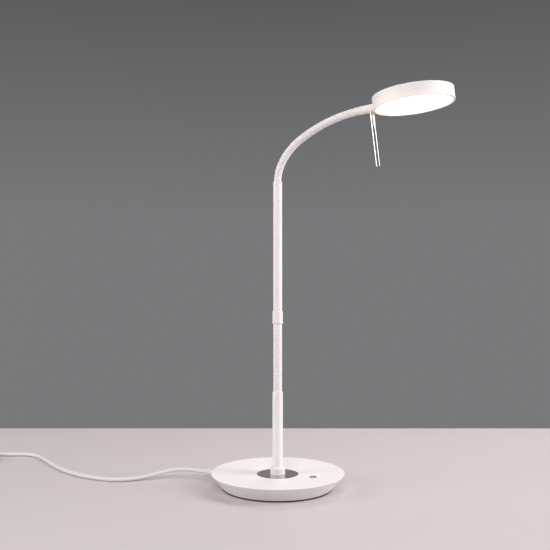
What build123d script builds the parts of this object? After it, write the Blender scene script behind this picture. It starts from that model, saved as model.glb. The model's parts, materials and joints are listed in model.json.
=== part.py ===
from build123d import *
import math
import os

# A white desk lamp: a weighted round base with a push button, a stem with a short flexible
# stretch in it, an upper tube, a gooseneck and a flat round LED head with a chrome handle.
# Millimetres, +Z up. The origin is the middle of the foot pad's underside, and the head
# reaches out along +X.

os.makedirs("parts", exist_ok=True)

# Fits
seat_gap = 0.1
running_gap = 0.3

# Base
base_top_radius = 90.4
base_foot_radius = 74.4
base_height = 20.6
base_dish = 2.2
dish_radius = 32.0
pad_thickness = 2.0
pad_inset = 0.8
cover_thickness = 1.2
shell_wall = 1.8
shell_top = 2.0
shell_edge = 0.4
disc_radius = 28.0
disc_thickness = 1.0
disc_edge = 0.2
weight_gap = 2.6
weight_width = 26.0
bay_gap = 1.0

# Screws that hold the cover and the weight to the shell
screw_radius = 1.5
screw_head_radius = 2.6
screw_count = 4
screw_start = 45.0
screw_bite = 1.0

# Stem foot
nipple_radius = 5.0
nipple_bore = 3.0
nipple_tail = 1.5
nipple_grip = 14.0
washer_radius = 9.0
washer_thickness = 1.5
nut_across_flats = 14.0
nut_height = 3.5
collar_radius = 10.0
collar_height = 9.0
collar_web = 1.5
collar_edge = 1.0

# Lower tube and the screw that holds the flexible stretch in it
lower_tube_radius = 7.0
lower_tube_wall = 1.2
lower_tube_length = 109.1
grub_radius = 1.5
grub_length = 3.0
grub_depth = 0.2
grub_socket = 1.5
grub_socket_depth = 1.2
grub_drop = 7.0
grub_azimuth = -65.0

# Lower flexible stretch
flex_radius = 6.0
flex_length = 93.0
flex_links = 5
flex_ribs = 6
flex_joint_turn = 10.0
flex_bore = 4.2
flex_plug_length = 17.0
rib_depth = 0.35
rib_slope = 0.22
nose_bore = 1.9
nose_web = 1.5
nose_play = 0.8

# Collar and upper tube
pole_collar_radius = 7.0
pole_collar_length = 16.4
pole_collar_edge = 0.8
pole_lip = 0.25
pole_lip_height = 2.2
pole_seat = 6.8
upper_tube_radius = 6.0
upper_tube_wall = 1.0
upper_tube_length = 183.8
tube_plug_length = 13.0

# Gooseneck: three arcs, from upright to nearly level
neck_radius = 5.0
neck_low_length = 24.3
neck_low_turn = 26.3
neck_mid_length = 39.8
neck_mid_turn = 28.8
neck_far_length = 93.7
neck_far_turn = 28.0
neck_links = 9
neck_ribs = 6
neck_joint_turn = 12.0
neck_bore = 3.5

# Sleeve and handle
sleeve_radius = 5.4
sleeve_length = 19.2
sleeve_rise = 7.6
sleeve_edge = 0.6
spigot_radius = 3.0
spigot_tail = 0.6
spigot_nut_flats = 9.0
spigot_nut_height = 2.8
rod_radius = 3.0
rod_length = 70.0
rod_edge = 0.4
rod_from_head = 4.3
stud_radius = 2.0
stud_length = 3.0

# Head
head_radius = 51.2
head_height = 16.7
head_wall = 1.2
head_top = 1.6
head_edge = 1.6
bezel_lip = 1.2
bezel_ledge = 0.6
bezel_wall = 0.7
bezel_reach = 2.8
bezel_overlap = 1.1
diffuser_thickness = 1.6
heat_plate_thickness = 2.0
heat_plate_radius = 44.0
led_board_thickness = 1.2
led_board_radius = 42.0
led_size = 3.0
led_height = 0.7
led_inner_circle = 16.0
led_inner_count = 8
led_outer_circle = 33.0
led_outer_count = 14
reflector_wall = 0.8
reflector_top_radius = 43.0
reflector_foot_radius = 46.4
reflector_notch = 6.0
head_screw_circle = 24.0
head_screw_count = 3
head_screw_head_radius = 2.6
head_screw_head = 1.6

# Button and the board under it
button_radius = 5.0
button_rise = 0.6
button_crown = 1.0
button_flange = 1.2
button_flange_height = 1.2
button_travel = 0.8
button_stem_radius = 1.4
switch_size = 7.5
switch_height = 4.3
switch_hole_depth = 2.8
board_length = 42.0
board_width = 36.0
board_thickness = 1.6
board_height = 7.0
board_ahead = 28.3
board_gap = 6.9
pillar_radius = 2.5
pillar_inset = 4.0
terminal_size = (8.0, 11.0, 6.0)
terminal_side = 12.5
transformer_size = (13.0, 14.0, 7.0)
transformer_place = (12.0, -9.0)
capacitor_radius = 3.5
capacitor_length = 12.0
capacitor_place = (20.0, 13.0)
choke_radius = 4.0
choke_height = 6.0
choke_place = (35.0, -12.0)

# Leads and cord
lead_radius = 1.3
lead_bend = 3.0
lead_height = 4.9
lead_inset = 8.0
cord_radius = 2.7
cord_height = 9.5
relief_radius = 5.0
relief_tip_radius = 3.4
relief_reach = 112.0
relief_taper = 24.0
relief_flange_radius = 5.7
relief_flange = 2.5
relief_inset = 0.6
relief_run = 16.0
tail_lead_in = 8.0
tail_run = 30.0
tail_bend = 60.0

# Coil of the spare cord, its tie and the plug
coil_centre = (-493.8, -73.5)
coil_entry_angle = 115.4
coil_inner_radius = 22.6
coil_turns_in = 3.25
coil_turns_out = 3.0
coil_pitch = 6.0
coil_lift = 0.8
coil_sides = 8
coil_tail = 20.0
coil_entry_run = 24.0
tie_width = 8.0
tie_thickness = 0.6
tie_gap = 0.8
tie_turn = 0.75
plug_relief_length = 16.0
plug_relief_radius = 4.4
plug_neck_width = 14.0
plug_neck_height = 11.0
plug_shoulder = 12.0
plug_width = 26.0
plug_height = 16.0
plug_length = 32.0
plug_edge = 3.0
pin_radius = 2.0
pin_length = 19.0
pin_spacing = 18.6
pin_seat = 6.0

# Heights that the pieces share
cover_floor = pad_thickness + cover_thickness
base_middle = base_height - base_dish
shell_ceiling = base_middle - shell_top
nipple_foot = shell_ceiling - washer_thickness - nut_height - nipple_tail
lower_tube_foot = base_middle + collar_web
lower_tube_top = lower_tube_foot + lower_tube_length
lower_tube_bore = lower_tube_radius - lower_tube_wall
pole_foot = lower_tube_top + flex_length
upper_tube_foot = pole_foot + pole_seat
upper_tube_top = upper_tube_foot + upper_tube_length
upper_tube_bore = upper_tube_radius - upper_tube_wall
board_top = board_height + board_thickness
foot_slope = (base_top_radius - base_foot_radius) / (base_height - pad_thickness)

# Places set from the shell's inner edge at its foot, and from the board and weight inside it
foot_bore = base_foot_radius - shell_wall
weight_radius = foot_bore - weight_gap
weight_bore = weight_radius - weight_width
screw_circle = weight_radius - weight_width / 2
relief_seat = foot_bore - relief_inset
board_start = foot_bore - board_gap - board_length
button_reach = board_start + board_ahead
dish_slope = base_dish / (base_top_radius - dish_radius)
button_seat = base_height - dish_slope * (base_top_radius - button_reach)

# Directions of the arm's end: forward along the sleeve, and square to it
neck_turn = neck_low_turn + neck_mid_turn + neck_far_turn
tilt = math.radians(90 - neck_turn)
forward = Vector(math.cos(tilt), 0, math.sin(tilt))
upward = Vector(-math.sin(tilt), 0, math.cos(tilt))
sideways = Vector(0, 1, 0)


def cone_radius(height):
    return base_foot_radius + foot_slope * (height - pad_thickness)


def save(piece, label):
    piece.label = label
    export_step(piece, f"parts/{label}.step")


# Centre lines of the two flexible stretches
with BuildLine() as flex_line:
    Line((0, 0, lower_tube_top), (0, 0, pole_foot))
with BuildLine(Plane.XZ) as neck_line:
    low = JernArc((0, upper_tube_top), (0, 1), neck_low_length / math.radians(neck_low_turn), -neck_low_turn)
    mid = JernArc(low @ 1, low % 1, neck_mid_length / math.radians(neck_mid_turn), -neck_mid_turn)
    far = JernArc(mid @ 1, mid % 1, neck_far_length / math.radians(neck_far_turn), -neck_far_turn)
flex_path = flex_line.wires()[0]
neck_path = neck_line.wires()[0]
neck_end = neck_path @ 1

# Planes of the sleeve, the handle and the head
sleeve_plane = Plane(neck_end, x_dir=sideways, z_dir=forward)
rod_plane = Plane(neck_end + forward * (sleeve_length - rod_from_head), x_dir=sideways, z_dir=-upward)
head_origin = neck_end + forward * (sleeve_length + head_radius) - upward * sleeve_rise
head_plane = Plane(head_origin, x_dir=forward, z_dir=upward)
head_profile = Plane(head_origin, x_dir=forward, z_dir=-sideways)
head_axis = Axis(head_origin, upward)
head_ceiling = head_height - head_top
heat_plate_foot = head_ceiling - heat_plate_thickness
led_board_foot = heat_plate_foot - led_board_thickness
head_bore = head_radius - head_wall
bezel_bore = head_bore - seat_gap - bezel_wall
diffuser_top = bezel_ledge + diffuser_thickness
spigot_nut_seat = sleeve_length + head_radius - math.sqrt(head_bore**2 - spigot_nut_flats**2 / 3)

# Base shell: a turned cone, open below, dished a little on top, with a recess for the trim disc
with BuildPart() as base_shell:
    with BuildSketch(Plane.XZ):
        with BuildLine():
            Polyline(
                (0, base_middle),
                (dish_radius, base_middle),
                (base_top_radius, base_height),
                (base_foot_radius, pad_thickness),
                (foot_bore, pad_thickness),
                (cone_radius(shell_ceiling) - shell_wall, shell_ceiling),
                (0, shell_ceiling),
                close=True,
            )
        make_face()
    revolve(axis=Axis.Z)
    fillet(base_shell.edges().filter_by(GeomType.CIRCLE).sort_by(SortBy.RADIUS)[-1], shell_edge)
    with Locations((0, 0, base_middle)):
        CounterBoreHole(nipple_radius + seat_gap, disc_radius + seat_gap, disc_thickness)
    with Locations((button_reach, 0, base_height)):
        Hole(button_radius + running_gap)
    with BuildSketch(Plane.YZ.offset(-base_top_radius)):
        with Locations((0, cord_height)):
            Circle(relief_radius + seat_gap)
    extrude(amount=base_top_radius - foot_bore, mode=Mode.SUBTRACT)
    with BuildSketch(Plane.XY.offset(shell_ceiling)):
        with PolarLocations(screw_circle, screw_count, screw_start):
            Circle(screw_radius + seat_gap)
    extrude(amount=screw_bite + seat_gap, mode=Mode.SUBTRACT)
save(base_shell.part, "base_shell")

with BuildPart() as disc_plate:
    with BuildSketch(Plane.XY.offset(base_middle - disc_thickness)):
        Circle(disc_radius)
        Circle(nipple_radius + seat_gap, mode=Mode.SUBTRACT)
    extrude(amount=disc_thickness)
    top_edges = disc_plate.edges().group_by(Axis.Z)[-1]
    chamfer(top_edges.sort_by(SortBy.RADIUS)[-1], disc_edge)
save(disc_plate.part, "disc_plate")

# Cast ring with a bay for the board at the front and a slot for the cord at the back
with BuildPart() as base_weight:
    with BuildSketch(Plane.XY.offset(cover_floor)):
        Circle(weight_radius)
        Circle(weight_bore, mode=Mode.SUBTRACT)
        with Locations((weight_radius, 0)):
            Rectangle(2 * weight_radius, board_width + 2 * bay_gap, mode=Mode.SUBTRACT)
        with PolarLocations(screw_circle, screw_count, screw_start):
            Circle(screw_radius + seat_gap, mode=Mode.SUBTRACT)
    extrude(amount=shell_ceiling - cover_floor)
    with BuildSketch(Plane.XY.offset(cover_floor)):
        with Locations((-weight_radius, 0)):
            Rectangle(weight_radius, 2 * (relief_flange_radius + bay_gap))
    extrude(amount=cord_height + relief_flange_radius + running_gap - cover_floor, mode=Mode.SUBTRACT)
save(base_weight.part, "base_weight")

with BuildPart() as base_cover:
    with BuildSketch(Plane.XY.offset(pad_thickness)):
        Circle(foot_bore - seat_gap)
    extrude(amount=cover_thickness)
    with Locations(Plane((0, 0, pad_thickness), x_dir=(1, 0, 0), z_dir=(0, 0, -1))):
        with PolarLocations(screw_circle, screw_count, screw_start):
            CounterSinkHole(screw_radius + seat_gap, screw_head_radius + seat_gap, counter_sink_angle=90)
save(base_cover.part, "base_cover")

with BuildPart() as foot_pad:
    with BuildSketch():
        Circle(base_foot_radius - pad_inset)
    extrude(amount=pad_thickness)
save(foot_pad.part, "foot_pad")

with BuildPart() as cover_screws:
    with Locations((0, 0, pad_thickness)):
        with PolarLocations(screw_circle, screw_count, screw_start):
            Cone(
                screw_head_radius,
                screw_radius,
                screw_head_radius - screw_radius,
                align=(Align.CENTER, Align.CENTER, Align.MIN),
            )
            Cylinder(
                screw_radius,
                shell_ceiling + screw_bite - pad_thickness,
                align=(Align.CENTER, Align.CENTER, Align.MIN),
            )
save(cover_screws.part, "cover_screws")

# Stem foot: hollow nipple through the base, clamped by washer and nut from inside
with BuildPart() as stem_nipple:
    with BuildSketch(Plane.XY.offset(nipple_foot)):
        Circle(nipple_radius)
    extrude(amount=lower_tube_foot - nipple_foot)
    with BuildSketch(Plane.XY.offset(lower_tube_foot)):
        Circle(lower_tube_bore - seat_gap)
    extrude(amount=nipple_grip)
    with BuildSketch(Plane.XY.offset(nipple_foot)):
        Circle(nipple_bore)
    extrude(amount=lower_tube_foot + nipple_grip - nipple_foot, mode=Mode.SUBTRACT)
save(stem_nipple.part, "stem_nipple")

with BuildPart() as stem_washer:
    with BuildSketch(Plane.XY.offset(shell_ceiling - washer_thickness)):
        Circle(washer_radius)
        Circle(nipple_radius + seat_gap, mode=Mode.SUBTRACT)
    extrude(amount=washer_thickness)
save(stem_washer.part, "stem_washer")

with BuildPart() as stem_nut:
    with BuildSketch(Plane.XY.offset(shell_ceiling - washer_thickness - nut_height)):
        RegularPolygon(nut_across_flats / 2, 6, major_radius=False)
        Circle(nipple_radius + seat_gap, mode=Mode.SUBTRACT)
    extrude(amount=nut_height)
save(stem_nut.part, "stem_nut")

with BuildPart() as foot_collar:
    with BuildSketch(Plane.XY.offset(base_middle)):
        Circle(collar_radius)
    extrude(amount=collar_height)
    fillet(foot_collar.edges().group_by(Axis.Z)[-1], collar_edge)
    with BuildSketch(Plane.XY.offset(base_middle)):
        Circle(nipple_radius + seat_gap)
    extrude(amount=collar_web, mode=Mode.SUBTRACT)
    with BuildSketch(Plane.XY.offset(lower_tube_foot)):
        Circle(lower_tube_radius + seat_gap)
    extrude(amount=collar_height, mode=Mode.SUBTRACT)
save(foot_collar.part, "foot_collar")

# Lower tube, with a grub screw near its top
grub_direction = Vector(math.cos(math.radians(grub_azimuth)), math.sin(math.radians(grub_azimuth)), 0)
grub_plane = Plane((0, 0, lower_tube_top - grub_drop), x_dir=(0, 0, 1), z_dir=grub_direction)
grub_foot = grub_plane.offset(lower_tube_radius - grub_depth - grub_length)

with BuildPart() as lower_tube:
    with BuildSketch(Plane.XY.offset(lower_tube_foot)):
        Circle(lower_tube_radius)
        Circle(lower_tube_bore, mode=Mode.SUBTRACT)
    extrude(amount=lower_tube_top - lower_tube_foot)
    with BuildSketch(grub_foot):
        Circle(grub_radius + seat_gap)
    extrude(amount=lower_tube_radius, mode=Mode.SUBTRACT)
save(lower_tube.part, "lower_tube")

with BuildPart() as grub_screw:
    with BuildSketch(grub_foot):
        Circle(grub_radius)
    extrude(amount=grub_length)
    with BuildSketch(grub_foot.offset(grub_length - grub_socket_depth)):
        RegularPolygon(grub_socket / 2, 6, major_radius=False)
    extrude(amount=grub_socket_depth, mode=Mode.SUBTRACT)
save(grub_screw.part, "grub_screw")

with BuildPart() as flex_foot:
    with BuildSketch(Plane.XY.offset(lower_tube_top - flex_plug_length)):
        Circle(lower_tube_bore - seat_gap)
        Circle(flex_bore, mode=Mode.SUBTRACT)
    extrude(amount=flex_plug_length)
    with BuildSketch(grub_foot):
        Circle(grub_radius + seat_gap)
    extrude(amount=lower_tube_radius, mode=Mode.SUBTRACT)
save(flex_foot.part, "flex_foot")


# Ribbed links of a flexible stretch. Each link is a hose with its ribs on the outside. A slit
# between two links lets them turn on each other, and a nose on one sits in the bore of the other.
def slit_width(crest, joint_turn):
    return 2 * (crest - rib_depth) * math.tan(math.radians(joint_turn) / 2) + running_gap


def make_nose(plane, bore, slit, joint_turn):
    entry = nose_play * running_gap / math.sin(math.radians(joint_turn))
    length = slit / 2 + entry
    with BuildPart() as nose:
        with BuildSketch(plane.offset(-length)):
            Circle(bore - running_gap)
            Circle(nose_bore, mode=Mode.SUBTRACT)
        extrude(amount=length)
    return nose.part


flex_slit = slit_width(flex_radius, flex_joint_turn)
neck_slit = slit_width(neck_radius, neck_joint_turn)


def section_plane(path, place):
    share = place / path.length
    return Plane(path @ share, x_dir=sideways, z_dir=path % share)


def make_link(path, start, end, crest, bore, ribs, nose):
    pitch = (end - start) / ribs
    valley = crest - rib_depth
    circles = []
    for rib in range(ribs):
        foot = start + rib * pitch
        circles += [(foot, valley), (foot + rib_slope * pitch, crest), (foot + (1 - rib_slope) * pitch, crest)]
    circles.append((end, valley))
    with BuildPart() as link:
        for place, radius in circles:
            with BuildSketch(section_plane(path, place)):
                Circle(radius)
        loft(ruled=True)
        for place in (start + nose_web, (start + end) / 2, end):
            with BuildSketch(section_plane(path, place)):
                Circle(bore)
        loft(ruled=True, mode=Mode.SUBTRACT)
        with BuildSketch(section_plane(path, start)):
            Circle(nose_bore)
        extrude(amount=2 * nose_web, mode=Mode.SUBTRACT)
        add(nose)
    return link.part


def make_links(name, path, links, crest, bore, ribs, slit, joint_turn):
    step = (path.length - slit) / links
    for index in range(links):
        start = slit + index * step
        nose = make_nose(section_plane(path, start), bore, slit, joint_turn)
        link = make_link(path, start, start + step - slit, crest, bore, ribs, nose)
        save(link, f"{name}_{index + 1}")


make_links("flex_link", flex_path, flex_links, flex_radius, flex_bore, flex_ribs, flex_slit, flex_joint_turn)
make_links("neck_link", neck_path, neck_links, neck_radius, neck_bore, neck_ribs, neck_slit, neck_joint_turn)

# Collar, upper tube and the plugs that hold the ends of the flexible stretches
flex_head_nose = make_nose(Plane.XY.offset(pole_foot), flex_bore, flex_slit, flex_joint_turn)
with BuildPart() as flex_head:
    add(flex_head_nose)
    with BuildSketch(Plane.XY.offset(pole_foot)):
        Circle(upper_tube_radius)
    extrude(amount=pole_seat)
    with BuildSketch(Plane.XY.offset(upper_tube_foot)):
        Circle(upper_tube_bore - seat_gap)
    extrude(amount=tube_plug_length)
    with BuildSketch(Plane.XY.offset(pole_foot)):
        Circle(nose_bore)
    extrude(amount=pole_seat + tube_plug_length, mode=Mode.SUBTRACT)
save(flex_head.part, "flex_head")

with BuildPart() as pole_collar:
    with BuildSketch(Plane.XY.offset(pole_foot)):
        Circle(pole_collar_radius)
    extrude(amount=pole_collar_length)
    fillet(pole_collar.edges().group_by(Axis.Z)[-1], pole_collar_edge)
    with BuildSketch(Plane.XY.offset(pole_foot)):
        Circle(pole_collar_radius + pole_lip)
    extrude(amount=pole_lip_height)
    with BuildSketch(Plane.XY.offset(pole_foot)):
        Circle(upper_tube_radius + seat_gap)
    extrude(amount=pole_collar_length, mode=Mode.SUBTRACT)
save(pole_collar.part, "pole_collar")

with BuildPart() as upper_tube:
    with BuildSketch(Plane.XY.offset(upper_tube_foot)):
        Circle(upper_tube_radius)
        Circle(upper_tube_bore, mode=Mode.SUBTRACT)
    extrude(amount=upper_tube_length)
save(upper_tube.part, "upper_tube")

with BuildPart() as neck_foot:
    with BuildSketch(Plane.XY.offset(upper_tube_top - tube_plug_length)):
        Circle(upper_tube_bore - seat_gap)
        Circle(neck_bore, mode=Mode.SUBTRACT)
    extrude(amount=tube_plug_length)
save(neck_foot.part, "neck_foot")

# Sleeve: coped to the head's wall, with a hollow spigot through it
sleeve_nose = make_nose(sleeve_plane, neck_bore, neck_slit, neck_joint_turn)
with BuildPart() as neck_sleeve:
    with BuildSketch(sleeve_plane):
        Circle(sleeve_radius)
    extrude(amount=sleeve_length + head_radius / 2)
    with BuildSketch(head_plane.offset(-head_height)):
        Circle(head_radius)
    extrude(amount=3 * head_height, mode=Mode.SUBTRACT)
    fillet(neck_sleeve.edges().filter_by(GeomType.CIRCLE).sort_by(Axis(neck_end, forward))[0], sleeve_edge)
    with BuildSketch(sleeve_plane.offset(sleeve_length / 2)):
        Circle(spigot_radius)
    extrude(amount=spigot_nut_seat - sleeve_length / 2 + spigot_nut_height + spigot_tail)
    add(sleeve_nose)
    with BuildSketch(sleeve_plane):
        Circle(nose_bore)
    extrude(amount=sleeve_length + head_radius / 2, mode=Mode.SUBTRACT)
    with BuildSketch(rod_plane.offset(sleeve_radius - stud_length - seat_gap)):
        Circle(stud_radius + seat_gap)
    extrude(amount=sleeve_radius, mode=Mode.SUBTRACT)
save(neck_sleeve.part, "neck_sleeve")

with BuildPart() as handle_rod:
    with BuildSketch(rod_plane):
        Circle(rod_radius)
    extrude(amount=sleeve_radius + rod_length)
    chamfer(handle_rod.edges().group_by(Axis.Z)[0], rod_edge)
    with BuildSketch(sleeve_plane):
        Circle(sleeve_radius)
    extrude(amount=sleeve_length, mode=Mode.SUBTRACT)
    with BuildSketch(rod_plane.offset(sleeve_radius - stud_length)):
        Circle(stud_radius)
    extrude(amount=stud_length + rod_radius)
save(handle_rod.part, "handle_rod")

with BuildPart() as spigot_nut:
    with BuildSketch(sleeve_plane.offset(spigot_nut_seat)):
        RegularPolygon(spigot_nut_flats / 2, 6, major_radius=False)
        Circle(spigot_radius + seat_gap, mode=Mode.SUBTRACT)
    extrude(amount=spigot_nut_height)
save(spigot_nut.part, "spigot_nut")

# Head: a spun cup closed below by the bezel ring, which carries the diffuser
with BuildPart() as head_housing:
    with BuildSketch(head_profile):
        with BuildLine():
            Polyline(
                (0, head_height),
                (head_radius, head_height),
                (head_radius, bezel_lip),
                (head_bore, bezel_lip),
                (head_bore, head_ceiling),
                (0, head_ceiling),
                close=True,
            )
        make_face()
    revolve(axis=head_axis)
    rim = head_housing.edges().filter_by(GeomType.CIRCLE).sort_by(head_axis)[-1]
    fillet(rim, head_edge)
    with BuildSketch(sleeve_plane.offset(sleeve_length / 2)):
        Circle(spigot_radius + seat_gap)
    extrude(amount=sleeve_length, mode=Mode.SUBTRACT)
    with BuildSketch(head_plane.offset(head_ceiling)):
        with PolarLocations(head_screw_circle, head_screw_count):
            Circle(screw_radius + seat_gap)
    extrude(amount=screw_bite + seat_gap, mode=Mode.SUBTRACT)
save(head_housing.part, "head_housing")

with BuildPart() as bezel_ring:
    with BuildSketch(head_profile):
        with BuildLine():
            Polyline(
                (bezel_bore - bezel_overlap, 0),
                (head_radius, 0),
                (head_radius, bezel_lip),
                (head_bore - seat_gap, bezel_lip),
                (head_bore - seat_gap, bezel_reach),
                (bezel_bore, bezel_reach),
                (bezel_bore, bezel_ledge),
                (bezel_bore - bezel_overlap, bezel_ledge),
                close=True,
            )
        make_face()
    revolve(axis=head_axis)
save(bezel_ring.part, "bezel_ring")

with BuildPart() as diffuser:
    with BuildSketch(head_plane.offset(bezel_ledge)):
        Circle(bezel_bore - seat_gap)
    extrude(amount=diffuser_thickness)
save(diffuser.part, "diffuser")

with BuildPart() as reflector:
    with BuildSketch(head_profile):
        with BuildLine():
            Polyline(
                (reflector_foot_radius, diffuser_top),
                (reflector_top_radius, heat_plate_foot),
                (reflector_top_radius - reflector_wall, heat_plate_foot),
                (reflector_foot_radius - reflector_wall, diffuser_top),
                close=True,
            )
        make_face()
    revolve(axis=head_axis)
    with BuildSketch(sleeve_plane.offset(sleeve_length)):
        Rectangle(reflector_notch, head_height)
    extrude(amount=head_radius / 2, mode=Mode.SUBTRACT)
save(reflector.part, "reflector")

with BuildPart() as heat_plate:
    with BuildSketch(head_plane.offset(heat_plate_foot)):
        Circle(heat_plate_radius)
        with PolarLocations(head_screw_circle, head_screw_count):
            Circle(screw_radius + seat_gap, mode=Mode.SUBTRACT)
    extrude(amount=heat_plate_thickness)
save(heat_plate.part, "heat_plate")

with BuildPart() as led_board:
    with BuildSketch(head_plane.offset(led_board_foot)):
        Circle(led_board_radius)
        with PolarLocations(head_screw_circle, head_screw_count):
            Circle(screw_radius + seat_gap, mode=Mode.SUBTRACT)
    extrude(amount=led_board_thickness)
save(led_board.part, "led_board")

with BuildPart() as led_chips:
    with BuildSketch(head_plane.offset(led_board_foot - led_height)):
        with PolarLocations(led_inner_circle, led_inner_count, start_angle=180 / led_inner_count):
            Rectangle(led_size, led_size)
        with PolarLocations(led_outer_circle, led_outer_count, start_angle=180 / led_outer_count):
            Rectangle(led_size, led_size)
    extrude(amount=led_height)
save(led_chips.part, "led_chips")

with BuildPart() as head_screws:
    with BuildSketch(head_plane.offset(led_board_foot - head_screw_head)):
        with PolarLocations(head_screw_circle, head_screw_count):
            Circle(head_screw_head_radius)
    extrude(amount=head_screw_head)
    with BuildSketch(head_plane.offset(led_board_foot)):
        with PolarLocations(head_screw_circle, head_screw_count):
            Circle(screw_radius)
    extrude(amount=head_ceiling + screw_bite - led_board_foot)
save(head_screws.part, "head_screws")

# Button: a crowned cap held under the shell by its flange, with a stem into the switch
button_flange_top = shell_ceiling - running_gap
button_flange_foot = button_flange_top - button_flange_height
switch_top = board_top + switch_height
switch_hole_floor = switch_top - switch_hole_depth
button_tip = switch_hole_floor + button_travel + running_gap
button_plane = Plane((button_reach, 0, 0), x_dir=(1, 0, 0), z_dir=(0, -1, 0))

with BuildPart() as button_cap:
    with BuildSketch(button_plane):
        with BuildLine():
            Polyline(
                (0, button_seat + button_rise + button_crown),
                (0, button_tip),
                (button_stem_radius, button_tip),
                (button_stem_radius, button_flange_foot),
                (button_radius + button_flange, button_flange_foot),
                (button_radius + button_flange, button_flange_top),
                (button_radius, button_flange_top),
                (button_radius, button_seat + button_rise),
            )
            crown = (button_radius**2 + button_crown**2) / (2 * button_crown)
            RadiusArc(
                (button_radius, button_seat + button_rise),
                (0, button_seat + button_rise + button_crown),
                -crown,
            )
        make_face()
    revolve(axis=Axis((button_reach, 0, 0), (0, 0, 1)))
save(button_cap.part, "button_cap")

with BuildPart() as tact_switch:
    with BuildSketch(Plane.XY.offset(board_top)):
        with Locations((button_reach, 0)):
            Rectangle(switch_size, switch_size)
    extrude(amount=switch_height)
    with BuildSketch(Plane.XY.offset(switch_hole_floor)):
        with Locations((button_reach, 0)):
            Circle(button_stem_radius + running_gap)
    extrude(amount=switch_hole_depth, mode=Mode.SUBTRACT)
save(tact_switch.part, "tact_switch")

# Driver board on its pillars, with the parts on it
board_middle = board_start + board_length / 2
with BuildPart() as driver_board:
    with BuildSketch(Plane.XY.offset(board_height)):
        with Locations((board_middle, 0)):
            Rectangle(board_length, board_width)
    extrude(amount=board_thickness)
    fillet(driver_board.edges().filter_by(Axis.Z), board_thickness)
save(driver_board.part, "driver_board")

with BuildPart() as board_pillars:
    with BuildSketch(Plane.XY.offset(cover_floor)):
        with Locations((board_middle, 0)):
            with GridLocations(board_length - 2 * pillar_inset, board_width - 2 * pillar_inset, 2, 2):
                Circle(pillar_radius)
    extrude(amount=board_height - cover_floor)
save(board_pillars.part, "board_pillars")

with BuildPart() as board_parts:
    with Locations((board_start + terminal_size[0] / 2, terminal_side, board_top)):
        Box(*terminal_size, align=(Align.CENTER, Align.CENTER, Align.MIN))
    with Locations((board_start + transformer_place[0], transformer_place[1], board_top)):
        Box(*transformer_size, align=(Align.CENTER, Align.CENTER, Align.MIN))
    with Locations((board_start + choke_place[0], choke_place[1], board_top)):
        Cylinder(choke_radius, choke_height, align=(Align.CENTER, Align.CENTER, Align.MIN))
    with BuildSketch(Plane.YZ.offset(board_start + capacitor_place[0] - capacitor_length / 2)):
        with Locations((capacitor_place[1], board_top + capacitor_radius)):
            Circle(capacitor_radius)
    extrude(amount=capacitor_length)
save(board_parts.part, "board_parts")


# Leads: the low-voltage pair from the board up to the head, in the stretches it runs through
def make_tube(path, radius, sides=0):
    with BuildPart() as tube:
        with BuildSketch(Plane(path @ 0, z_dir=path % 0)):
            if sides:
                RegularPolygon(radius, sides)
            else:
                Circle(radius)
        sweep(path=path)
    return tube.part


lead_start = board_start + lead_inset
with BuildLine() as stem_lead_line:
    FilletPolyline(
        (lead_start, 0, board_height),
        (lead_start, 0, lead_height),
        (0, 0, lead_height),
        (0, 0, lower_tube_top),
        radius=[(board_height - lead_height) * 0.9, lead_bend],
    )
save(make_tube(stem_lead_line.wires()[0], lead_radius), "stem_lead")
save(make_tube(flex_path, lead_radius), "flex_lead")

with BuildLine() as pole_lead_line:
    Line((0, 0, pole_foot), (0, 0, upper_tube_top))
save(make_tube(pole_lead_line.wires()[0], lead_radius), "pole_lead")
save(make_tube(neck_path, lead_radius), "neck_lead")

head_lead_turn = neck_end + forward * (sleeve_length + head_radius - led_board_radius + lead_bend)
led_board_rise = led_board_foot - sleeve_rise
with BuildLine() as head_lead_line:
    FilletPolyline(
        neck_end,
        head_lead_turn,
        head_lead_turn + upward * led_board_rise,
        radius=led_board_rise * 0.9,
    )
save(make_tube(head_lead_line.wires()[0], lead_radius), "head_lead")

# Strain relief through the back of the shell, and the cord's tail inside the base
with BuildPart() as cord_relief:
    with BuildSketch(Plane.XZ):
        with BuildLine():
            Polyline(
                (-relief_seat + relief_flange, cord_height + cord_radius + seat_gap),
                (-relief_seat + relief_flange, cord_height + relief_flange_radius),
                (-relief_seat, cord_height + relief_flange_radius),
                (-relief_seat, cord_height + relief_radius),
                (-relief_reach + relief_taper, cord_height + relief_radius),
                (-relief_reach, cord_height + relief_tip_radius),
                (-relief_reach, cord_height + cord_radius + seat_gap),
                close=True,
            )
        make_face()
    revolve(axis=Axis((0, 0, cord_height), (1, 0, 0)))
save(cord_relief.part, "cord_relief")

tail_turn = -weight_bore - tail_lead_in
tail_height = board_top + terminal_size[2] / 2
with BuildLine() as tail_line:
    FilletPolyline(
        (-relief_reach, 0, cord_height),
        (tail_turn, 0, cord_height),
        (tail_turn + tail_run, terminal_side, tail_height),
        (board_start, terminal_side, tail_height),
        radius=tail_bend,
    )
save(make_tube(tail_line.wires()[0], cord_radius), "mains_tail")

# Cord: out of the relief, down to the table and along it to the coil
entry_heading = math.radians(coil_entry_angle + 90)
entry_direction = Vector(math.cos(entry_heading), math.sin(entry_heading), 0)
coil_floor = cord_radius + coil_lift


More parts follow.
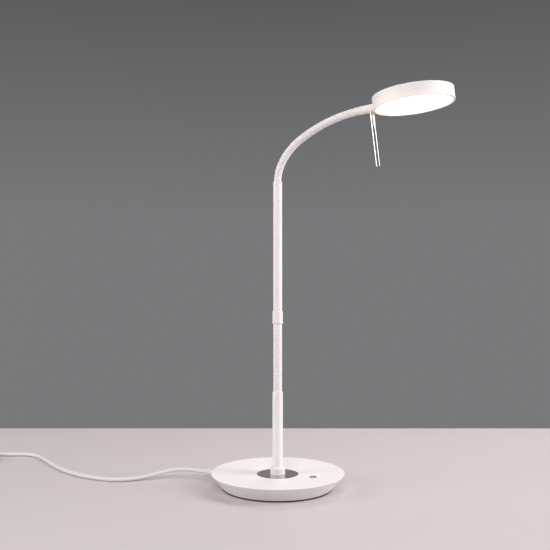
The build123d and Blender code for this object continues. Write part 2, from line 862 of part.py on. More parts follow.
def coil_point(turn):
    """Place and direction of the coil's centre line after some turns from its entry."""
    middle = coil_turns_in
    away = turn - middle
    if abs(away) < 0.25:
        radius = coil_inner_radius + coil_pitch * (2 * away**2 + 0.125)
        slope = coil_pitch * 4 * away
        share = (away + 0.25) / 0.5
        height = coil_pitch * share**2 * (3 - 2 * share)
        climb = coil_pitch * 12 * share * (1 - share)
    else:
        radius = coil_inner_radius + coil_pitch * abs(away)
        slope = math.copysign(coil_pitch, away)
        height = coil_pitch if away > 0 else 0
        climb = 0
    angle = math.radians(coil_entry_angle) + 2 * math.pi * turn
    outwards = Vector(math.cos(angle), math.sin(angle), 0)
    along = Vector(-math.sin(angle), math.cos(angle), 0)
    place = Vector(*coil_centre, coil_floor + height) + outwards * radius
    heading = along * (2 * math.pi * radius) + outwards * slope + Vector(0, 0, climb)
    return place, heading.normalized()


def corner_arc(start, corner, end):
    """The arc that touches both sides of a corner, from start on one to end on the other."""
    chord_middle = (start + end) * 0.5
    rise = corner - chord_middle
    half_chord = (end - start).length / 2
    sagitta = half_chord * math.tan(math.atan(rise.length / half_chord) / 2)
    ThreePointArc(start, chord_middle + rise.normalized() * sagitta, end)


def biarc(start, start_heading, end, end_heading):
    """Two arcs that leave start and reach end along the headings."""
    span = end - start
    total = start_heading + end_heading
    spread = 2 * (1 - start_heading.dot(end_heading))
    reach = (-span.dot(total) + math.sqrt(span.dot(total) ** 2 + spread * span.dot(span))) / spread
    first_corner = start + start_heading * reach
    second_corner = end - end_heading * reach
    middle = (first_corner + second_corner) * 0.5
    corner_arc(start, first_corner, middle)
    corner_arc(middle, second_corner, end)


coil_steps = int(4 * (coil_turns_in + coil_turns_out))
coil_stations = [coil_point(step / 4) for step in range(coil_steps + 1)]
coil_start, coil_start_heading = coil_stations[0]
coil_end, coil_end_heading = coil_stations[-1]
coil_mouth = coil_start - coil_start_heading * (2 * cord_radius)
plug_mouth = coil_end + coil_end_heading * coil_tail

with BuildLine() as coil_line:
    Line(coil_mouth, coil_start)
    for (start, start_heading), (end, end_heading) in zip(coil_stations, coil_stations[1:]):
        biarc(start, start_heading, end, end_heading)
    Line(coil_end, plug_mouth)
coil_path = coil_line.wires()[0]
save(make_tube(coil_path, cord_radius, coil_sides), "cord_coil")

# Least gap of the coil to itself, measured on points along it
coil_samples = 700
coil_points = [coil_path @ (index / coil_samples) for index in range(coil_samples + 1)]
apart = int(coil_samples / (coil_turns_in + coil_turns_out) / 2)
least = min(
    (coil_points[a] - coil_points[b]).length
    for a in range(coil_samples)
    for b in range(a + apart, coil_samples + 1)
)
print(f"coil: {coil_path.length:.0f} mm of cord, least gap to itself {least - 2 * cord_radius:.2f} mm")

cord_points = [
    Vector(-relief_reach, 0, cord_height),
    Vector(-relief_reach - relief_run, 0, cord_height),
    Vector(-150, -8, 11.0),
    Vector(-170, -24, 7.6),
    Vector(-190, -52, 3.2),
    Vector(-215, -73, cord_radius),
    Vector(-252, -75, cord_radius),
    Vector(-290, -68, cord_radius),
    Vector(-328, -53, cord_radius),
    Vector(-372, -27, cord_radius),
    Vector(-408, -3.5, cord_radius),
    Vector(-437, 2, cord_radius),
    Vector(-458, -11.5, cord_radius),
    coil_mouth - coil_start_heading * coil_entry_run,
    coil_mouth,
]
cord_radii = []
for before, corner, after in zip(cord_points, cord_points[1:], cord_points[2:]):
    half_turn = math.radians((corner - before).get_angle(after - corner)) / 2
    shorter = min((corner - before).length, (after - corner).length)
    cord_radii.append(0.45 * shorter / math.tan(half_turn))
with BuildLine() as cord_line:
    FilletPolyline(*cord_points, radius=cord_radii)
cord_path = cord_line.wires()[0]
mains_cord = make_tube(cord_path, cord_radius)
save(mains_cord, "mains_cord")
print("cord radii:", " ".join(f"{radius:.0f}" for radius in cord_radii))
print(f"cord: {cord_path.length:.0f} mm, volume over section times length "
      f"{mains_cord.volume / (math.pi * cord_radius**2 * cord_path.length):.4f}")

# Tie: a flat strap round the bundle, on the side where the turns lie one over the other
tie_angle = math.radians(coil_entry_angle) + 2 * math.pi * tie_turn
tie_outwards = Vector(math.cos(tie_angle), math.sin(tie_angle), 0)
tie_plane = Plane(Vector(*coil_centre, 0), x_dir=tie_outwards, z_dir=tie_outwards.cross(Vector(0, 0, 1)))
tie_inner = coil_inner_radius + coil_pitch * (tie_turn % 1 - coil_turns_in % 1) - cord_radius - tie_gap
tie_outer = coil_inner_radius + coil_pitch * (coil_turns_in - tie_turn) + cord_radius + tie_gap
tie_top = coil_lift + 2 * cord_radius + coil_pitch + seat_gap
with BuildPart() as cord_tie:
    with BuildSketch(tie_plane.offset(-tie_width / 2)):
        with Locations(((tie_inner + tie_outer) / 2, (tie_top + tie_thickness) / 2)):
            Rectangle(tie_outer - tie_inner + 2 * tie_thickness, tie_top + tie_thickness)
        with Locations(((tie_inner + tie_outer) / 2, (tie_top + tie_thickness) / 2)):
            Rectangle(tie_outer - tie_inner, tie_top - tie_thickness, mode=Mode.SUBTRACT)
    extrude(amount=tie_width)
save(cord_tie.part, "cord_tie")

# Plug: lies on the table beside the coil
plug_plane = Plane(plug_mouth, x_dir=coil_end_heading.cross(Vector(0, 0, 1)), z_dir=coil_end_heading)
plug_drop = plug_height / 2 - plug_mouth.Z
plug_front = plug_plane.offset(plug_relief_length + plug_length)
with BuildPart() as plug_body:
    with BuildSketch(plug_plane):
        Circle(cord_radius + plug_edge / 3)
    with BuildSketch(plug_plane.offset(plug_relief_length)):
        Circle(plug_relief_radius)
    loft()
    with BuildSketch(plug_plane.offset(plug_relief_length)):
        with Locations((0, -plug_drop)):
            RectangleRounded(plug_neck_width, plug_neck_height, plug_edge)
    with BuildSketch(plug_plane.offset(plug_relief_length + plug_shoulder)):
        with Locations((0, -plug_drop)):
            RectangleRounded(plug_width, plug_height, plug_edge)
    loft(ruled=True)
    with BuildSketch(plug_plane.offset(plug_relief_length + plug_shoulder)):
        with Locations((0, -plug_drop)):
            RectangleRounded(plug_width, plug_height, plug_edge)
    extrude(amount=plug_length - plug_shoulder)
    with BuildSketch(plug_front.offset(-pin_seat)):
        with Locations((0, -plug_drop)):
            with GridLocations(pin_spacing, 0, 2, 1):
                Circle(pin_radius + seat_gap)
    extrude(amount=pin_seat, mode=Mode.SUBTRACT)
save(plug_body.part, "plug_body")

with BuildPart() as plug_pins:
    with BuildSketch(plug_front.offset(-pin_seat)):
        with Locations((0, -plug_drop)):
            with GridLocations(pin_spacing, 0, 2, 1):
                Circle(pin_radius)
    extrude(amount=pin_seat + pin_length)
    chamfer(plug_pins.edges().group_by(Axis(plug_mouth, coil_end_heading))[-1], pin_radius / 3)
save(plug_pins.part, "plug_pins")
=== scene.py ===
import json
import math
import bmesh
import bpy
from mathutils import Matrix, Vector


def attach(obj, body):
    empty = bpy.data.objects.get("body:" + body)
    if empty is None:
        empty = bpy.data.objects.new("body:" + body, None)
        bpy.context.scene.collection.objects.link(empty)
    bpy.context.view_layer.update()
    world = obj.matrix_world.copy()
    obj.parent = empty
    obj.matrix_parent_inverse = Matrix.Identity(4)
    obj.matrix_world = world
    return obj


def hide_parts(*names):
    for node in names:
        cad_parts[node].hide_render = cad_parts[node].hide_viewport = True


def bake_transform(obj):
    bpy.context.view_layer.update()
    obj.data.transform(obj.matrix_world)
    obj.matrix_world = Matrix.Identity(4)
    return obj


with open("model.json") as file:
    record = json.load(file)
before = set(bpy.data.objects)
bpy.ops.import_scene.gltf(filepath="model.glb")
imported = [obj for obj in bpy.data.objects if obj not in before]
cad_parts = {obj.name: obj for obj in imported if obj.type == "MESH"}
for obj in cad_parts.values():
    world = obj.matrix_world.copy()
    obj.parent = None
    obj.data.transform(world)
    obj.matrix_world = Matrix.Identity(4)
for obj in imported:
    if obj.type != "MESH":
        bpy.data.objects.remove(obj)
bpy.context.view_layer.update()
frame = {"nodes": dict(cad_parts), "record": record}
nodes = frame["nodes"]


def srgb(red, green, blue):
    # screen colour, 0 to 255, as the linear colour that a shader takes
    def linear(value):
        value /= 255
        return value / 12.92 if value <= 0.04045 else ((value + 0.055) / 1.055) ** 2.4
    return (linear(red), linear(green), linear(blue), 1.0)


# camera, from the photograph's view of the base, the stem and the table's edge
viewFrom = {
    "distance": 1.112,
    "sideways": -0.0036,
    "height": 0.2927,
    "swing": math.radians(25.4),
    "tiltDown": math.radians(0.285),
    "lens": 53.87,
    "sensor": 36,
}


def acrossView(right, away, height):
    # a place given as seen from the camera: to the right of the lamp, behind it, above the table
    swing = viewFrom["swing"]
    return Vector((
        right * math.cos(swing) - away * math.sin(swing),
        right * math.sin(swing) + away * math.cos(swing),
        height,
    ))


def setCamera():
    data = bpy.data.cameras.new("photoCamera")
    data.lens = viewFrom["lens"]
    data.sensor_width = viewFrom["sensor"]
    camera = bpy.data.objects.new("photoCamera", data)
    camera.location = acrossView(viewFrom["sideways"], -viewFrom["distance"], viewFrom["height"])
    camera.rotation_euler = (math.radians(90) - viewFrom["tiltDown"], 0, viewFrom["swing"])
    bpy.context.scene.collection.objects.link(camera)
    bpy.context.scene.camera = camera


setCamera()
bpy.context.scene.view_settings.view_transform = "Standard"
print("camera set")


# shader helpers
def newMaterial(name):
    material = bpy.data.materials.new(name)
    material.use_nodes = True
    tree = material.node_tree
    return material, tree, tree.nodes["Principled BSDF"]


def addNode(tree, kind, **settings):
    node = tree.nodes.new(kind)
    for key, value in settings.items():
        setattr(node, key, value)
    return node


def newGroup(name, inputs, outputs):
    group = bpy.data.node_groups.new(name, "ShaderNodeTree")
    for label, kind in inputs:
        group.interface.new_socket(label, in_out="INPUT", socket_type=kind)
    for label, kind in outputs:
        group.interface.new_socket(label, in_out="OUTPUT", socket_type=kind)
    return group, group.nodes.new("NodeGroupInput"), group.nodes.new("NodeGroupOutput")


def fineNoise(tree, source, scale, detail):
    noise = addNode(tree, "ShaderNodeTexNoise")
    noise.inputs["Detail"].default_value = detail
    tree.links.new(source, noise.inputs["Vector"])
    tree.links.new(scale, noise.inputs["Scale"])
    return noise.outputs["Fac"]


noiseReach = (0.3, 0.7)  # where nearly all of a noise texture lies


def spread(tree, value, low, high):
    # noise stretched to the range from low to high
    ramp = addNode(tree, "ShaderNodeMapRange")
    ramp.inputs["From Min"].default_value, ramp.inputs["From Max"].default_value = noiseReach
    tree.links.new(value, ramp.inputs["Value"])
    for label, end in (("To Min", low), ("To Max", high)):
        if isinstance(end, (int, float)):
            ramp.inputs[label].default_value = end
        else:
            tree.links.new(end, ramp.inputs[label])
    return ramp.outputs["Result"]


def makeSkinGroup():
    # colour and roughness that drift a little over a surface, with a fine grain on top
    group, given, made = newGroup(
        "surfaceSkin",
        [("Light", "NodeSocketColor"), ("Dark", "NodeSocketColor"),
         ("Smooth", "NodeSocketFloat"), ("Rough", "NodeSocketFloat"),
         ("Patch Scale", "NodeSocketFloat"), ("Grain Scale", "NodeSocketFloat")],
        [("Color", "NodeSocketColor"), ("Roughness", "NodeSocketFloat"), ("Height", "NodeSocketFloat")],
    )
    place = addNode(group, "ShaderNodeTexCoord").outputs["Object"]
    patches = fineNoise(group, place, given.outputs["Patch Scale"], 3.0)
    grain = fineNoise(group, place, given.outputs["Grain Scale"], 2.0)
    tone = addNode(group, "ShaderNodeMix", data_type="RGBA")
    group.links.new(spread(group, patches, 0.0, 1.0), tone.inputs["Factor"])
    group.links.new(given.outputs["Light"], tone.inputs["A"])
    group.links.new(given.outputs["Dark"], tone.inputs["B"])
    group.links.new(tone.outputs["Result"], made.inputs["Color"])
    rough = spread(group, patches, given.outputs["Smooth"], given.outputs["Rough"])
    group.links.new(rough, made.inputs["Roughness"])
    group.links.new(grain, made.inputs["Height"])
    return group


skinGroup = makeSkinGroup()


def skinned(name, look):
    # a material whose surface comes from the shared skin group
    material, tree, shader = newMaterial(name)
    skin = addNode(tree, "ShaderNodeGroup", node_tree=skinGroup)
    skin.inputs["Light"].default_value = look["light"]
    skin.inputs["Dark"].default_value = look["dark"]
    skin.inputs["Smooth"].default_value = look["smooth"]
    skin.inputs["Rough"].default_value = look["rough"]
    skin.inputs["Patch Scale"].default_value = look["patch"]
    skin.inputs["Grain Scale"].default_value = look["grain"]
    bump = addNode(tree, "ShaderNodeBump")
    bump.inputs["Strength"].default_value = look["bump"]
    bump.inputs["Distance"].default_value = look["depth"]
    tree.links.new(skin.outputs["Color"], shader.inputs["Base Color"])
    tree.links.new(skin.outputs["Roughness"], shader.inputs["Roughness"])
    tree.links.new(skin.outputs["Height"], bump.inputs["Height"])
    tree.links.new(bump.outputs["Normal"], shader.inputs["Normal"])
    shader.inputs["Metallic"].default_value = look.get("metallic", 0.0)
    shader.inputs["Specular IOR Level"].default_value = look.get("specular", 0.5)
    return material


paintLook = {
    "light": srgb(247, 243, 240), "dark": srgb(243, 239, 236), "smooth": 0.42, "rough": 0.50,
    "patch": 18.0, "grain": 900.0, "bump": 0.08, "depth": 0.0002, "specular": 0.25,
}
chromeLook = {
    "light": srgb(198, 196, 195), "dark": srgb(192, 190, 189), "smooth": 0.035, "rough": 0.08,
    "patch": 60.0, "grain": 2500.0, "bump": 0.02, "depth": 0.0001, "metallic": 1.0,
}
zincLook = {
    "light": srgb(196, 197, 198), "dark": srgb(160, 162, 165), "smooth": 0.28, "rough": 0.46,
    "patch": 140.0, "grain": 3000.0, "bump": 0.1, "depth": 0.0001, "metallic": 1.0,
}
castLook = {
    "light": srgb(92, 92, 94), "dark": srgb(62, 62, 64), "smooth": 0.62, "rough": 0.85,
    "patch": 90.0, "grain": 700.0, "bump": 0.6, "depth": 0.0006, "metallic": 0.7,
}
sheetLook = {
    "light": srgb(214, 216, 217), "dark": srgb(196, 198, 200), "smooth": 0.25, "rough": 0.38,
    "patch": 50.0, "grain": 1800.0, "bump": 0.08, "depth": 0.0001, "metallic": 1.0,
}
nickelLook = {
    "light": srgb(214, 205, 188), "dark": srgb(198, 188, 168), "smooth": 0.16, "rough": 0.3,
    "patch": 120.0, "grain": 2400.0, "bump": 0.05, "depth": 0.0001, "metallic": 1.0,
}
padLook = {
    "light": srgb(58, 57, 57), "dark": srgb(42, 41, 41), "smooth": 0.85, "rough": 0.97,
    "patch": 120.0, "grain": 1500.0, "bump": 0.7, "depth": 0.0004,
}
whitePlasticLook = {
    "light": srgb(236, 235, 232), "dark": srgb(229, 228, 225), "smooth": 0.3, "rough": 0.42,
    "patch": 40.0, "grain": 1600.0, "bump": 0.12, "depth": 0.0002,
}
blackPlasticLook = {
    "light": srgb(44, 44, 45), "dark": srgb(32, 32, 33), "smooth": 0.42, "rough": 0.6,
    "patch": 90.0, "grain": 1500.0, "bump": 0.25, "depth": 0.0002,
}
leadLook = {
    "light": srgb(46, 45, 45), "dark": srgb(34, 33, 33), "smooth": 0.45, "rough": 0.6,
    "patch": 60.0, "grain": 1200.0, "bump": 0.15, "depth": 0.0002,
}
cordLook = {
    "light": srgb(238, 236, 232), "dark": srgb(228, 226, 221), "smooth": 0.42, "rough": 0.56,
    "patch": 25.0, "grain": 1100.0, "bump": 0.12, "depth": 0.0003,
}
materials = {
    "white_paint": skinned("satinPaint", paintLook),
    "chrome": skinned("polishedChrome", chromeLook),
    "steel": skinned("zincSteel", zincLook),
    "cast_iron": skinned("castIron", castLook),
    "aluminium": skinned("aluminiumSheet", sheetLook),
    "brass": skinned("nickelPins", nickelLook),
    "pad": skinned("foamPad", padLook),
    "white_plastic": skinned("whitePlastic", whitePlasticLook),
    "black_plastic": skinned("blackPlastic", blackPlasticLook),
    "lead": skinned("leadSheath", leadLook),
    "cord": skinned("cordSheath", cordLook),
}

hoseLook = {
    "light": srgb(249, 245, 242), "dark": srgb(245, 241, 238), "smooth": 0.42, "rough": 0.50,
    "patch": 30.0, "grain": 1200.0, "bump": 0.1, "depth": 0.0002, "specular": 0.25,
    # groove: painted shade colour for the bottom of the grooves between the turns
    "groove": srgb(229, 225, 222),
}


def makeHoseMaterial():
    # white coating, with painted shade darkening it down between the turns
    material = skinned("coatedHose", hoseLook)
    tree = material.node_tree
    shader = tree.nodes["Principled BSDF"]
    painted = shader.inputs["Base Color"].links[0].from_socket
    groove = addNode(tree, "ShaderNodeAttribute", attribute_name="groove")
    tone = addNode(tree, "ShaderNodeMix", data_type="RGBA")
    tone.inputs["B"].default_value = hoseLook["groove"]
    tree.links.new(groove.outputs["Fac"], tone.inputs["Factor"])
    tree.links.new(painted, tone.inputs["A"])
    tree.links.new(tone.outputs["Result"], shader.inputs["Base Color"])
    return material


boardLook = {
    "light": srgb(40, 112, 62), "dark": srgb(26, 84, 46), "smooth": 0.22, "rough": 0.34,
    "patch": 220.0, "grain": 1400.0, "bump": 0.1, "depth": 0.0001,
}
ledBoardLook = {
    "light": srgb(238, 238, 234), "dark": srgb(226, 226, 221), "smooth": 0.25, "rough": 0.36,
    "patch": 120.0, "grain": 1500.0, "bump": 0.06, "depth": 0.0001,
}
ledLook = {
    "light": srgb(250, 226, 130), "dark": srgb(244, 210, 104), "smooth": 0.3, "rough": 0.42,
    "patch": 900.0, "grain": 3000.0, "bump": 0.1, "depth": 0.0001,
    "glow": srgb(255, 236, 180), "strength": 2.0,
}
diffuserLook = {
    "light": srgb(250, 246, 240), "dark": srgb(246, 241, 234), "smooth": 0.45, "rough": 0.55,
    "patch": 20.0, "grain": 2000.0, "bump": 0.05, "depth": 0.0001,
    "glow": srgb(255, 224, 202), "strength": 3.0,
}


def lit(name, look):
    material = skinned(name, look)
    shader = material.node_tree.nodes["Principled BSDF"]
    shader.inputs["Emission Color"].default_value = look["glow"]
    shader.inputs["Emission Strength"].default_value = look["strength"]
    return material


# heights along the head's own axis, from its lower edge up to where the glow ends
headGlow = {
    "axis": (-0.1201, 0.0, 0.9928), "lit": 0.4718, "dark": 0.4890,
    "colour": srgb(255, 186, 160), "strength": 0.16,
}


def makeGlowPaint():
    # paint on the head's rim, with a painted glow on its lower edge for the light inside shining through
    material = skinned("glowingRim", paintLook)
    tree = material.node_tree
    shader = tree.nodes["Principled BSDF"]
    place = addNode(tree, "ShaderNodeTexCoord").outputs["Object"]
    height = addNode(tree, "ShaderNodeVectorMath", operation="DOT_PRODUCT")
    height.inputs[1].default_value = headGlow["axis"]
    tree.links.new(place, height.inputs[0])
    fade = addNode(tree, "ShaderNodeMapRange", interpolation_type="SMOOTHSTEP")
    fade.inputs["From Min"].default_value = headGlow["lit"]
    fade.inputs["From Max"].default_value = headGlow["dark"]
    fade.inputs["To Min"].default_value = 1.0
    fade.inputs["To Max"].default_value = 0.0
    tree.links.new(height.outputs["Value"], fade.inputs["Value"])
    glow = addNode(tree, "ShaderNodeMix", data_type="RGBA")
    glow.inputs["A"].default_value = (0.0, 0.0, 0.0, 1.0)
    glow.inputs["B"].default_value = headGlow["colour"]
    tree.links.new(fade.outputs["Result"], glow.inputs["Factor"])
    tree.links.new(glow.outputs["Result"], shader.inputs["Emission Color"])
    shader.inputs["Emission Strength"].default_value = headGlow["strength"]
    return material


materials["hose"] = makeHoseMaterial()
materials["green_board"] = skinned("driverBoard", boardLook)
materials["led_board"] = skinned("ledBoard", ledBoardLook)
materials["led"] = lit("ledPhosphor", ledLook)
materials["diffuser"] = lit("opalDiffuser", diffuserLook)
glowingRim = makeGlowPaint()

for part in frame["record"]["subparts"]:
    slots = nodes[part["node"]].data.materials
    slots.clear()
    slots.append(materials[part["material_slot"]])
# rim and bezel take the paint with the painted glow
for rim in ("head_housing", "bezel_ring"):
    nodes[rim].data.materials[0] = glowingRim
nodes["grub_screw"].data.materials[0] = materials["white_paint"]
print("materials:", len(materials))


# mains cord: the route from the base to the coil, then the coil's turns, on one spline
cordSize = {"radius": 0.0027, "turnPoints": 32, "length": 1.73, "steps": 4, "rounding": 4}
cordRoute = [
    (-0.112, 0, 0.0095), (-0.128, 0, 0.0095), (-0.150, -0.008, 0.011), (-0.170, -0.024, 0.0076),
    (-0.190, -0.052, 0.0032), (-0.215, -0.073, 0.0027), (-0.252, -0.075, 0.0027), (-0.290, -0.068, 0.0027),
    (-0.328, -0.053, 0.0027), (-0.372, -0.027, 0.0027), (-0.408, -0.0035, 0.0027), (-0.437, 0.002, 0.0027),
    (-0.458, -0.0115, 0.0027),
]
coil = {
    "centre": Vector((-0.4938, -0.0735, 0.0035)), "entry": math.radians(115.4), "radius": 0.0226,
    "pitch": 0.006, "turnsIn": 3.25, "turnsOut": 3.0, "climbHalf": 0.25,
    "run": 0.024, "straight": 0.0054, "tail": 0.020,
}


def coilPoint(turn):
    # wound inwards on the table, then outwards on top, with a short climb between
    away = turn - coil["turnsIn"]
    pitch, half = coil["pitch"], coil["climbHalf"]
    radius = coil["radius"] + pitch * abs(away)
    height = pitch if away > 0 else 0
    if abs(away) < half:
        radius = coil["radius"] + pitch * (away**2 / (2 * half) + half / 2)
        climb = away / (2 * half) + 0.5
        height = pitch * climb**2 * (3 - 2 * climb)
    angle = coil["entry"] + 2 * math.pi * turn
    return coil["centre"] + Vector((radius * math.cos(angle), radius * math.sin(angle), height))


def makeCord():
    turns = coil["turnsIn"] + coil["turnsOut"]
    count = round(turns * cordSize["turnPoints"])
    wound = [coilPoint(turns * index / count) for index in range(count + 1)]
    tiny = 1e-4
    entering = (coilPoint(tiny) - wound[0]).normalized()
    leaving = (wound[-1] - coilPoint(turns - tiny)).normalized()
    mouth = wound[0] - entering * coil["straight"]
    points = [Vector(point) for point in cordRoute]
    points += [mouth - entering * coil["run"], mouth, *wound, wound[-1] + leaving * coil["tail"]]
    curve = bpy.data.curves.new("mainsCord", "CURVE")
    curve.dimensions = "3D"
    curve.resolution_u = cordSize["steps"]
    curve.bevel_depth = cordSize["radius"]
    curve.bevel_resolution = cordSize["rounding"]
    curve.use_fill_caps = True
    spline = curve.splines.new("NURBS")
    spline.points.add(len(points) - 1)
    for slot, point in zip(spline.points, points):
        slot.co = (*point, 1.0)
    spline.order_u = 3
    spline.use_endpoint_u = True
    cord = bpy.data.objects.new("mainsCord", curve)
    bpy.context.scene.collection.objects.link(cord)
    curve.materials.append(materials["cord"])
    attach(cord, "base")
    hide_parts("mains_cord", "cord_coil")


makeCord()
print("cord laid")


# wound hoses of the two flexible stretches, one piece for each joint
# arcs are (length, turn in degrees), and farFirst lists the pieces whose list of ends is reversed
flexHose = {
    "name": "flexHose", "crest": 0.006, "bore": 0.0044, "ribDepth": 0.00035, "links": 5, "turn": 10.0,
    "ribs": 6, "gap": 0.0003, "start": (0.0, 0.129), "arcs": ((0.093, 0.0),), "lead": "flex_lead",
    "bodies": ["base", *[f"flex_{link}" for link in range(1, 6)], "pole"], "node": "flex_link",
    "farFirst": (),
}
neckHose = {
    "name": "neckHose", "crest": 0.005, "bore": 0.0036, "ribDepth": 0.00035, "links": 9, "turn": 12.0,
    "ribs": 6, "gap": 0.0003, "start": (0.0, 0.4126),
    "arcs": ((0.0243, 26.3), (0.0398, 28.8), (0.0937, 28.0)), "lead": "neck_lead",
    "bodies": ["pole", *[f"neck_{link}" for link in range(1, 10)], "head"], "node": "neck_link",
    "farFirst": (3, 9),
}
hoseLead = {"radius": 0.0013, "sides": 12}
hoseMesh = {"sides": 40, "row": 0.0015, "endDish": 0.0002, "weld": 1e-6}
# one rib, as (share of its pitch, share of its depth), from groove to groove
ribShape = ((0.0, 1.0), (0.10, 0.75), (0.24, 0.12), (0.38, 0.0), (0.62, 0.0), (0.76, 0.12), (0.90, 0.75))


def hoseLine(hose, along):
    # place on the hose's centre line and its lean from upright
    x, z = hose["start"]
    lean = 0.0
    for length, turn in hose["arcs"]:
        run = min(along, length)
        sweep = math.radians(turn) * run / length
        if turn:
            radius = length / math.radians(turn)
            x += radius * (math.cos(lean) - math.cos(lean + sweep))
            z += radius * (math.sin(lean + sweep) - math.sin(lean))
        else:
            x += run * math.sin(lean)
            z += run * math.cos(lean)
        lean += sweep
        along -= run
    x += along * math.sin(lean)
    z += along * math.cos(lean)
    return x, z, lean


def spinLine(bm, places, steps, climb):
    # a line of (radius, height) places spun round Z, shifted up by climb over the full turn
    verts = [bm.verts.new((radius, 0, height)) for radius, height in places]
    edges = [bm.edges.new(pair) for pair in zip(verts, verts[1:])]
    bmesh.ops.spin(bm, geom=verts + edges, cent=(0, 0, 0), axis=(0, 0, 1), dvec=(0, 0, climb / steps),
                   angle=2 * math.pi, steps=steps, use_duplicate=False, use_merge=climb == 0)
    bmesh.ops.remove_doubles(bm, verts=bm.verts, dist=hoseMesh["weld"])


def evenRows(radius, low, high, rows):
    return [(radius, low + (high - low) * row / rows) for row in range(rows + 1)]


def rowCount(low, high):
    return max(4, round((high - low) / hoseMesh["row"]))


def straightHose(hose, length, pitch):
    # ribbed wall wound as a helix, longer than needed at both ends
    bm = bmesh.new()
    places = []
    for rib in range(-2, math.ceil(length / pitch) + 2):
        places += [(hose["crest"] - hose["ribDepth"] * sunk, (rib + share) * pitch) for share, sunk in ribShape]
    spinLine(bm, places, hoseMesh["sides"], pitch)
    return bm


def cutHose(bm, low, high):
    # the stretch between two heights
    piece = bm.copy()
    for height, keepAbove in ((low, True), (high, False)):
        geom = piece.verts[:] + piece.edges[:] + piece.faces[:]
        bmesh.ops.bisect_plane(piece, geom=geom, dist=1e-7, plane_co=(0, 0, height), plane_no=(0, 0, 1),
                               clear_inner=keepAbove, clear_outer=not keepAbove)
    return piece


def addBore(piece, radius, low, high):
    # inner wall, joined to the outer one by a slightly dished ring at each end
    dish = hoseMesh["endDish"]
    places = evenRows(radius, low + dish, high - dish, rowCount(low, high))
    spinLine(piece, places, hoseMesh["sides"], 0.0)
    for height in (low, high):
        rim = [edge for edge in piece.edges
               if edge.is_boundary and all(abs(vert.co.z - height) < 2 * dish for vert in edge.verts)]
        bmesh.ops.bridge_loops(piece, edges=rim)
        for edge in rim:
            edge.smooth = False  # a clean end, so that the next piece carries on without a line


def addLead(piece, low, high):
    # the lead inside, as a rod of its own
    places = evenRows(hoseLead["radius"], low, high, rowCount(low, high))
    before = set(piece.faces)
    spinLine(piece, [(0.0, low), *places, (0.0, high)], hoseLead["sides"], 0.0)
    for face in set(piece.faces) - before:
        face.material_index = 1


def bendHose(piece, hose):
    for vert in piece.verts:
        x, z, lean = hoseLine(hose, vert.co.z)
        side = vert.co.x
        vert.co = (x + side * math.cos(lean), vert.co.y, z - side * math.sin(lean))


def makeHose(hose):
    length = sum(arc[0] for arc in hose["arcs"])
    slit = 2 * (hose["crest"] - hose["ribDepth"]) * math.tan(math.radians(hose["turn"]) / 2) + hose["gap"]
    step = (length - slit) / hose["links"]
    pitch = (step - slit) / hose["ribs"]
    cuts = [0.0, *[slit / 2 + (link + 0.5) * step for link in range(hose["links"])], length]
    straight = straightHose(hose, length, pitch)
    for joint, (low, high) in enumerate(zip(cuts, cuts[1:])):
        piece = cutHose(straight, low, high)
        addBore(piece, hose["bore"], low, high)
        addLead(piece, low, high)
        # how far each point lies down in a groove, the mask for the painted groove shade
        sunken = [min(1.0, max(0.0, (hose["crest"] - math.hypot(v.co.x, v.co.y)) / hose["ribDepth"]))
                  for v in piece.verts]
        bendHose(piece, hose)
        bmesh.ops.recalc_face_normals(piece, faces=piece.faces)
        for face in piece.faces:
            face.smooth = True
        mesh = bpy.data.meshes.new(f"{hose['name']}{joint + 1}")
        piece.to_mesh(mesh)
        piece.free()
        mesh.attributes.new("groove", "FLOAT", "POINT").data.foreach_set("value", sunken)
        mesh.materials.append(materials["hose"])
        mesh.materials.append(materials["lead"])
        made = bpy.data.objects.new(mesh.name, mesh)
        bpy.context.scene.collection.objects.link(made)
        ends = [(body, hoseLine(hose, along)) for body, along in zip(hose["bodies"][joint:], (low, high))]
        if joint + 1 in hose["farFirst"]:
            ends.reverse()  # far end first
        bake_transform(made)
        if joint < hose["links"]:
            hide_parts(f"{hose['node']}_{joint + 1}")
        if joint == 0:
            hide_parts(hose["lead"])
    straight.free()


makeHose(flexHose)
makeHose(neckHose)
print("hoses wound")


# table and light
table = {
    "back": 0.420, "front": -1.1, "side": 1.3, "thick": 0.03, "edge": 0.004,
    "light": srgb(212, 203, 202), "dark": srgb(208, 199, 198), "smooth": 0.50, "rough": 0.60,
    "patch": 3.0, "grain": 300.0, "bump": 0.03, "depth": 0.0003, "specular": 0.3,
}


def makeTable():
    bm = bmesh.new()
    bmesh.ops.create_cube(bm, size=1.0)
    depth = table["back"] - table["front"]
    bmesh.ops.scale(bm, vec=(2 * table["side"], depth, table["thick"]), verts=bm.verts)
    middle = (table["back"] + table["front"]) / 2
    bmesh.ops.translate(bm, vec=(0, middle, -table["thick"] / 2), verts=bm.verts)
    bmesh.ops.bevel(bm, geom=bm.edges[:], offset=table["edge"], segments=3, profile=0.5,
                    affect="EDGES", material=-1)
    bmesh.ops.rotate(bm, cent=(0, 0, 0), matrix=Matrix.Rotation(viewFrom["swing"], 3, "Z"), verts=bm.verts)
    mesh = bpy.data.meshes.new("table")
    bm.to_mesh(mesh)
    bm.free()
    made = bpy.data.objects.new("table", mesh)
    bpy.context.scene.collection.objects.link(made)
    mesh.materials.append(skinned("tableTop", table))


makeTable()

room = {
    "seen": srgb(120, 121, 123), "seenTop": srgb(91, 91, 92), "mirrored": srgb(152, 144, 141),
    "ceiling": srgb(235, 233, 231), "ambient": srgb(224, 236, 244), "strength": 0.21,
    "seenFade": (0.06, 0.32), "ceilingFade": (0.45, 0.75),
}


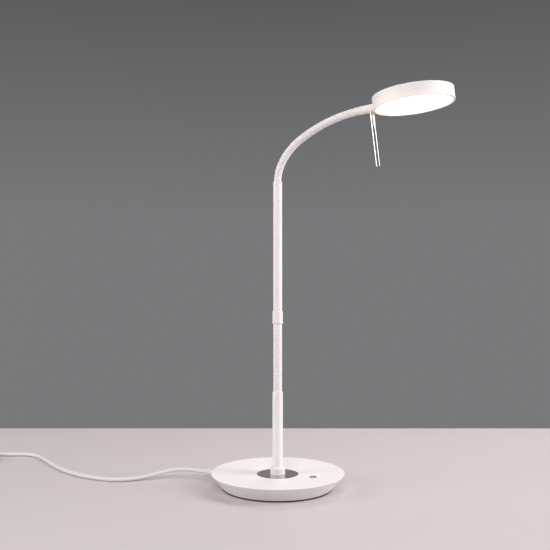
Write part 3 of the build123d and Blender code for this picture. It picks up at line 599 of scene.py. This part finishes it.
def makeWorld():
    # the camera and reflections see a grey wall, and everything else a soft white room
    world = bpy.data.worlds.new("room")
    bpy.context.scene.world = world
    world.use_nodes = True
    tree = world.node_tree
    output = tree.nodes["World Output"]
    ambient = tree.nodes["Background"]
    ambient.inputs["Color"].default_value = room["ambient"]
    ambient.inputs["Strength"].default_value = room["strength"]
    wall = addNode(tree, "ShaderNodeBackground")
    place = addNode(tree, "ShaderNodeTexCoord").outputs["Generated"]
    parts = addNode(tree, "ShaderNodeSeparateXYZ")
    tree.links.new(place, parts.inputs["Vector"])
    rays = addNode(tree, "ShaderNodeLightPath")
    tones = []
    for fade, start, end in (("seenFade", "seen", "seenTop"), ("ceilingFade", "mirrored", "ceiling")):
        height = addNode(tree, "ShaderNodeMapRange")
        height.inputs["From Min"].default_value, height.inputs["From Max"].default_value = room[fade]
        tree.links.new(parts.outputs["Z"], height.inputs["Value"])
        tone = addNode(tree, "ShaderNodeMix", data_type="RGBA")
        tone.inputs["A"].default_value = room[start]
        tone.inputs["B"].default_value = room[end]
        tree.links.new(height.outputs["Result"], tone.inputs["Factor"])
        tones.append(tone.outputs["Result"])
    wallTone = addNode(tree, "ShaderNodeMix", data_type="RGBA")
    tree.links.new(rays.outputs["Is Glossy Ray"], wallTone.inputs["Factor"])
    tree.links.new(tones[0], wallTone.inputs["A"])
    tree.links.new(tones[1], wallTone.inputs["B"])
    tree.links.new(wallTone.outputs["Result"], wall.inputs["Color"])
    direct = addNode(tree, "ShaderNodeMath", operation="MAXIMUM")
    shown = addNode(tree, "ShaderNodeMath", operation="MAXIMUM")
    tree.links.new(rays.outputs["Is Camera Ray"], direct.inputs[0])
    tree.links.new(rays.outputs["Is Glossy Ray"], direct.inputs[1])
    tree.links.new(direct.outputs["Value"], shown.inputs[0])
    tree.links.new(rays.outputs["Is Transmission Ray"], shown.inputs[1])
    choose = addNode(tree, "ShaderNodeMixShader")
    tree.links.new(shown.outputs["Value"], choose.inputs["Fac"])
    tree.links.new(ambient.outputs["Background"], choose.inputs[1])
    tree.links.new(wall.outputs["Background"], choose.inputs[2])
    tree.links.new(choose.outputs["Shader"], output.inputs["Surface"])


coolLight = (0.98, 0.98, 1.0)
lightAim = Vector((0.05, 0, 0.35))
lights = {
    "rightHigh": {
        "place": acrossView(1.7, -0.25, 1.30), "size": 1.2, "power": 15.8, "colour": coolLight, "mirrored": True,
    },
    "rightLow": {
        "place": acrossView(2.0, -0.25, 0.80), "size": 1.2, "power": 19.2, "colour": coolLight, "mirrored": False,
    },
    "left": {
        "place": acrossView(-1.7, -0.4, 0.8), "size": 1.0, "power": 14.0, "colour": coolLight, "mirrored": True,
    },
    "back": {
        "place": acrossView(0.3, 0.9, 1.2), "size": 0.8, "power": 6.5, "colour": (1.0, 0.84, 0.80),
        "mirrored": False,
    },
    "front": {
        "place": acrossView(-0.2, -1.2, 1.2), "size": 0.8, "power": 9.7, "colour": (1.0, 0.94, 0.92),
        "mirrored": False,
    },
}


def addLight(name, light):
    data = bpy.data.lights.new(name, "AREA")
    data.shape = "DISK"
    data.size = light["size"]
    data.energy = light["power"]
    data.color = light["colour"]
    lamp = bpy.data.objects.new(name, data)
    lamp.location = light["place"]
    lamp.rotation_euler = (lightAim - light["place"]).to_track_quat("-Z", "Y").to_euler()
    lamp.visible_glossy = light["mirrored"]  # whether chrome and gloss show it
    bpy.context.scene.collection.objects.link(lamp)


makeWorld()
for name, light in lights.items():
    addLight(name, light)
print("table and lights placed")
